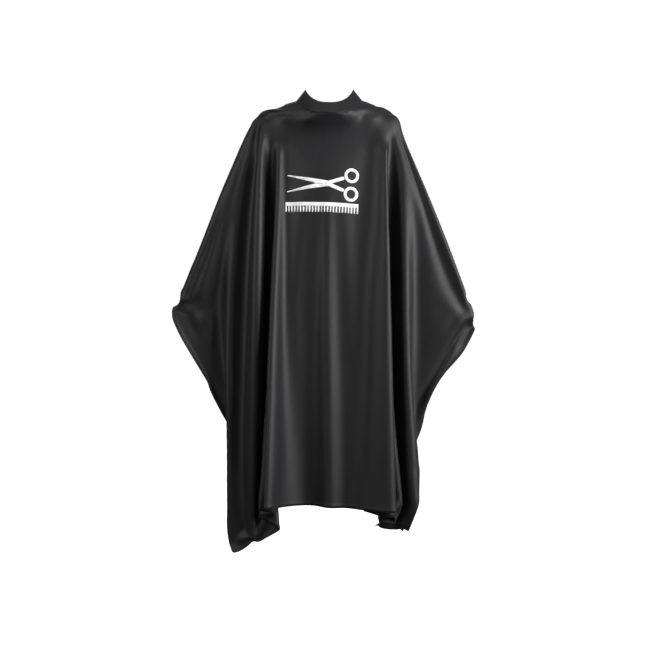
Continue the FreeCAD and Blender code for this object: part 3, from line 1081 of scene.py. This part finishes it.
tabAlongs = ruled(tabSizes["length"] + tabSizes["tuck"], 0.0035, nearStart=False)
tabAcrosses = ruled(tabSizes["height"], 0.004)
tabOuter = sewnFace("ClosureTabOuter", tabAlongs, tabAcrosses, tabSpot, 1, 0.00003)
tabInner = sewnFace("ClosureTabInner", tabAlongs, tabAcrosses, tabSpot, -1, 0.0)
finish(tabOuter, blackSatin("tabSatin", "band_cloth"))
finish(tabInner, knitLining("tabLining", "band_lining"))
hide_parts("closure_tab_outer", "closure_tab_interlining")
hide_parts("closure_tab_inner")


def tabRow(side):
    # round the three free sides of the tab, a stitch line in from the edge
    s = tabSizes
    inset = bandSizes["stitchIn"]
    end = bandSizes["slitX"] - s["length"] + inset
    half, corner = s["height"] / 2 - inset, s["corner"] - inset
    line = [Vector((bandSizes["slitX"] - 0.001, 0, s["middleZ"] - half))]
    for middleZ, first in ((s["middleZ"] - half + corner, 270), (s["middleZ"] + half - corner, 180)):
        for step in range(7):
            angle = math.radians(first - step * 15)
            line.append(Vector((end + corner + corner * math.cos(angle), 0,
                                middleZ + corner * math.sin(angle))))
    line.append(Vector((bandSizes["slitX"] - 0.001, 0, s["middleZ"] + half)))
    spots = []
    for first, last in zip(line, line[1:]):
        count = max(1, int(round((last - first).length / 0.003)))
        for step in range(count):
            place = first.lerp(last, step / count)
            place.y = bandSizes["back"] + side * (rise(inset) + 0.00006)
            spots.append((place, Vector((0, side, 0))))
    return spots


bm = bmesh.new()
for side in (-1, 1):
    sewRow(bm, tabRow(side), 0.003, 0.0)
tabStitches = finish(addMesh("ClosureTabStitches", bm), thread)
for piece in (tabOuter, tabInner, tabStitches):
    applyAll(piece)
    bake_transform(piece)
print("closure tab sewn")


# press snaps
snapSizes = {
    "pitch": 0.020, "firstStud": 0.006, "studs": 5, "tabStuds": (1, 2),
    "seatAir": 0.00002, "curvedSeat": 0.0006, "sides": 32,
    # profiles from the middle out: (radius, height above the cloth)
    "cap": [(0, 0.00160), (0.0020, 0.00153), (0.0040, 0.00122), (0.0046, 0.00108), (0.0048, 0.00118),
            (0.0054, 0.00100), (0.0059, 0.00062), (0.0060, 0.00028), (0.0058, 0.0), (0, 0.0)],
    "socket": [(0, 0.0005), (0.0025, 0.0005), (0.0025, 0.0011), (0.0023, 0.0014), (0.0025, 0.0018),
               (0.0031, 0.0019), (0.0037, 0.00165), (0.0040, 0.0012), (0.0042, 0.0008), (0.0047, 0.0007),
               (0.0050, 0.0004), (0.0049, 0.0), (0, 0.0)],
    "stud": [(0.0006, 0.0016), (0.0011, 0.0019), (0.0018, 0.00185), (0.0022, 0.0015), (0.0022, 0.0012),
             (0.00185, 0.0008), (0.0020, 0.0005), (0.0038, 0.00045), (0.0047, 0.0004), (0.0050, 0.0002),
             (0.0049, 0.0), (0, 0.0)],
    "post": [(0, 0.00035), (0.0014, 0.00038), (0.0017, 0.0005), (0.0024, 0.00052), (0.0042, 0.00048),
             (0.0049, 0.0003), (0.0050, 0.0001), (0.0048, 0.0), (0, 0.0)],
}


def turned(profile, place, facing):
    # a small part turned on the lathe, standing on the cloth at place
    bm = bmesh.new()
    points = [bm.verts.new((r, 0, h)) for r, h in profile]
    edges = [bm.edges.new(pair) for pair in zip(points, points[1:])]
    bmesh.ops.spin(bm, geom=points + edges, cent=(0, 0, 0), axis=(0, 0, 1), angle=2 * math.pi,
                   steps=snapSizes["sides"], use_merge=True, use_duplicate=False)
    bmesh.ops.remove_doubles(bm, verts=bm.verts, dist=1e-6)
    bmesh.ops.holes_fill(bm, edges=[e for e in bm.edges if e.is_boundary], sides=0)
    bmesh.ops.recalc_face_normals(bm, faces=bm.faces)
    turn = facing.to_track_quat("Z", "Y").to_matrix().to_4x4()
    bmesh.ops.transform(bm, matrix=Matrix.Translation(place) @ turn, verts=bm.verts)
    return bm


def snapSet(name, kind, spots, recipe, body, node):
    joined = bmesh.new()
    for place, facing in spots:
        part = turned(snapSizes[kind], place, facing)
        mesh = bpy.data.meshes.new("part")
        part.to_mesh(mesh)
        part.free()
        joined.from_mesh(mesh)
        bpy.data.meshes.remove(mesh)
    piece = finish(roundOff(addMesh(name, joined)), recipe, body)
    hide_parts(node)
    return piece


studSpots = []
for number in range(snapSizes["studs"]):
    distance = snapSizes["firstStud"] + number * snapSizes["pitch"] - bandSizes["gap"]
    x, y, outX, outY = halfCurve(distance, underFlat, underBack)
    studSpots.append((Vector((-x, y, tabSizes["middleZ"])), Vector((-outX, outY, 0))))


def offCloth(facing):
    return bandSizes["half"] + (snapSizes["seatAir"] if facing.y > 0.999 else snapSizes["curvedSeat"])


outward = Vector((0, 1, 0))
tabSpots = [Vector((studSpots[number][0].x, bandSizes["back"], tabSizes["middleZ"]))
            for number in snapSizes["tabStuds"]]
seatOff = outward * offCloth(outward)
snapNickel = nickel("snapNickel", "snap_metal")
snapSet("SnapCaps", "cap", [(p + seatOff, outward) for p in tabSpots],
        blackEnamel("capEnamel", "snap_cap_enamel"), "tab", "snap_caps")
snapSet("SnapSockets", "socket", [(p - seatOff, -outward) for p in tabSpots],
        snapNickel, "tab", "snap_sockets")
snapSet("SnapStuds", "stud", [(p + f * offCloth(f), f) for p, f in studSpots],
        snapNickel, "root", "snap_studs")
snapSet("SnapPosts", "post", [(p - f * offCloth(f), -f) for p, f in studSpots],
        snapNickel, "root", "snap_posts")
print("snaps set")


# care label: a folded blank tape sewn in under the band
labelSizes = {"width": 0.024, "bow": 0.0006, "thick": 0.00022, "gap": 0.00018}


def makeLabel():
    low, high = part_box("care_label")
    s = labelSizes
    drop = high.z - low.z
    middleY = (low.y + high.y) / 2
    middleX = (low.x + high.x) / 2
    bm = bmesh.new()
    bmesh.ops.create_grid(bm, x_segments=12, y_segments=48, size=0.5)
    flatMap = bm.loops.layers.uv.new("flat")
    for face in bm.faces:
        for loop in face.loops:
            loop[flatMap].uv = (loop.vert.co.x * s["width"], loop.vert.co.y * 2 * drop)
    for v in bm.verts:
        run = v.co.y * 2                     # -1 and 1 at the sewn top, 0 at the fold
        down = 1 - abs(run)
        fold = math.sin(math.pi / 2 * min(1.0, abs(run) / 0.06))
        swell = s["gap"] + s["bow"] * math.sin(math.pi * down) ** 2
        y = middleY + math.copysign(fold, run) * swell if run else middleY
        cup = 0.0006 * (2 * v.co.x) ** 2 * down
        v.co = (middleX + v.co.x * s["width"], y - cup, high.z - down * drop)
    bmesh.ops.recalc_face_normals(bm, faces=bm.faces)
    label = giveWall(addMesh("CareLabel", bm), s["thick"], 0.0)
    return label


careLabel = finish(makeLabel(), wovenTape("blankTape", "label_tape"), "label")
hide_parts("care_label")
print("label sewn in")
